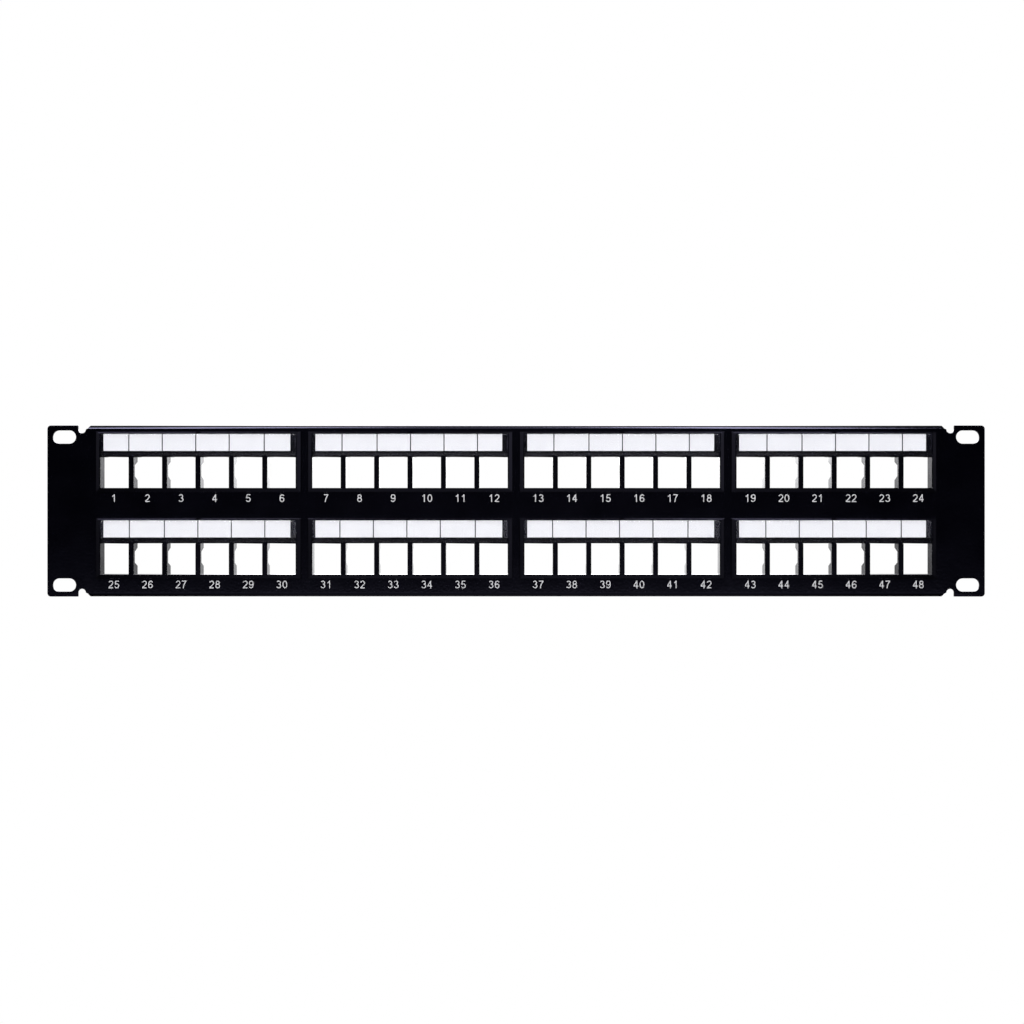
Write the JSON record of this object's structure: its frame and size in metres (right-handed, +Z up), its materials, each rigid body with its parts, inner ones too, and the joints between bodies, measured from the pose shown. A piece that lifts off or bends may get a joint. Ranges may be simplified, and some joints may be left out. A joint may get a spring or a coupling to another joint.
{
  "type": "patch panel",
  "caption": "Blank keystone patch panel for a 19-inch rack, two units high: folded steel plate, snap-in port modules, and label strips under clear covers.",
  "frame": {"origin": "centre of the panel on the steel's rear face, which is the plane that meets the rack's rails", "axes": "+X along the panel's width, to the right as seen from the front; +Y out of the rear face, into the rack, so the front faces -Y; +Z up"},
  "size_m": [0.4826, 0.0165, 0.0882],
  "materials": {
    "powder_coat": "fine-textured black powder coat",
    "black_plastic": "satin moulded plastic",
    "paper": "matt white card",
    "clear_plastic": "clear, glossy"
  },
  "bodies": {
    "root": {"panel": "powder_coat", "port_module_1": "black_plastic", "port_module_2": "black_plastic", "port_module_3": "black_plastic", "port_module_4": "black_plastic", "port_module_5": "black_plastic", "port_module_6": "black_plastic", "port_module_7": "black_plastic", "port_module_8": "black_plastic"},
    "cover_1": {"label_cover_1": "clear_plastic"},
    "strip_1": {"label_strip_1": "paper"},
    "cover_2": {"label_cover_2": "clear_plastic"},
    "strip_2": {"label_strip_2": "paper"},
    "cover_3": {"label_cover_3": "clear_plastic"},
    "strip_3": {"label_strip_3": "paper"},
    "cover_4": {"label_cover_4": "clear_plastic"},
    "strip_4": {"label_strip_4": "paper"},
    "cover_5": {"label_cover_5": "clear_plastic"},
    "strip_5": {"label_strip_5": "paper"},
    "cover_6": {"label_cover_6": "clear_plastic"},
    "strip_6": {"label_strip_6": "paper"},
    "cover_7": {"label_cover_7": "clear_plastic"},
    "strip_7": {"label_strip_7": "paper"},
    "cover_8": {"label_cover_8": "clear_plastic"},
    "strip_8": {"label_strip_8": "paper"}
  },
  "joints": [
    {"name": "cover_1_pull", "type": "slide", "parent": "root", "child": "cover_1", "axis": [0, -1, 0], "range_m": [0, 0.02]},
    {"name": "strip_1_pull", "type": "slide", "parent": "root", "child": "strip_1", "axis": [0, -1, 0], "range_m": [0, 0.01]},
    {"name": "cover_2_pull", "type": "slide", "parent": "root", "child": "cover_2", "axis": [0, -1, 0], "range_m": [0, 0.02]},
    {"name": "strip_2_pull", "type": "slide", "parent": "root", "child": "strip_2", "axis": [0, -1, 0], "range_m": [0, 0.01]},
    {"name": "cover_3_pull", "type": "slide", "parent": "root", "child": "cover_3", "axis": [0, -1, 0], "range_m": [0, 0.02]},
    {"name": "strip_3_pull", "type": "slide", "parent": "root", "child": "strip_3", "axis": [0, -1, 0], "range_m": [0, 0.01]},
    {"name": "cover_4_pull", "type": "slide", "parent": "root", "child": "cover_4", "axis": [0, -1, 0], "range_m": [0, 0.02]},
    {"name": "strip_4_pull", "type": "slide", "parent": "root", "child": "strip_4", "axis": [0, -1, 0], "range_m": [0, 0.01]},
    {"name": "cover_5_pull", "type": "slide", "parent": "root", "child": "cover_5", "axis": [0, -1, 0], "range_m": [0, 0.02]},
    {"name": "strip_5_pull", "type": "slide", "parent": "root", "child": "strip_5", "axis": [0, -1, 0], "range_m": [0, 0.01]},
    {"name": "cover_6_pull", "type": "slide", "parent": "root", "child": "cover_6", "axis": [0, -1, 0], "range_m": [0, 0.02]},
    {"name": "strip_6_pull", "type": "slide", "parent": "root", "child": "strip_6", "axis": [0, -1, 0], "range_m": [0, 0.01]},
    {"name": "cover_7_pull", "type": "slide", "parent": "root", "child": "cover_7", "axis": [0, -1, 0], "range_m": [0, 0.02]},
    {"name": "strip_7_pull", "type": "slide", "parent": "root", "child": "strip_7", "axis": [0, -1, 0], "range_m": [0, 0.01]},
    {"name": "cover_8_pull", "type": "slide", "parent": "root", "child": "cover_8", "axis": [0, -1, 0], "range_m": [0, 0.02]},
    {"name": "strip_8_pull", "type": "slide", "parent": "root", "child": "strip_8", "axis": [0, -1, 0], "range_m": [0, 0.01]}
  ],
  "couplings": [
    {"joint": "strip_1_pull", "follows": "cover_1_pull", "ratio": 0.5},
    {"joint": "strip_2_pull", "follows": "cover_2_pull", "ratio": 0.5},
    {"joint": "strip_3_pull", "follows": "cover_3_pull", "ratio": 0.5},
    {"joint": "strip_4_pull", "follows": "cover_4_pull", "ratio": 0.5},
    {"joint": "strip_5_pull", "follows": "cover_5_pull", "ratio": 0.5},
    {"joint": "strip_6_pull", "follows": "cover_6_pull", "ratio": 0.5},
    {"joint": "strip_7_pull", "follows": "cover_7_pull", "ratio": 0.5},
    {"joint": "strip_8_pull", "follows": "cover_8_pull", "ratio": 0.5}
  ]
}
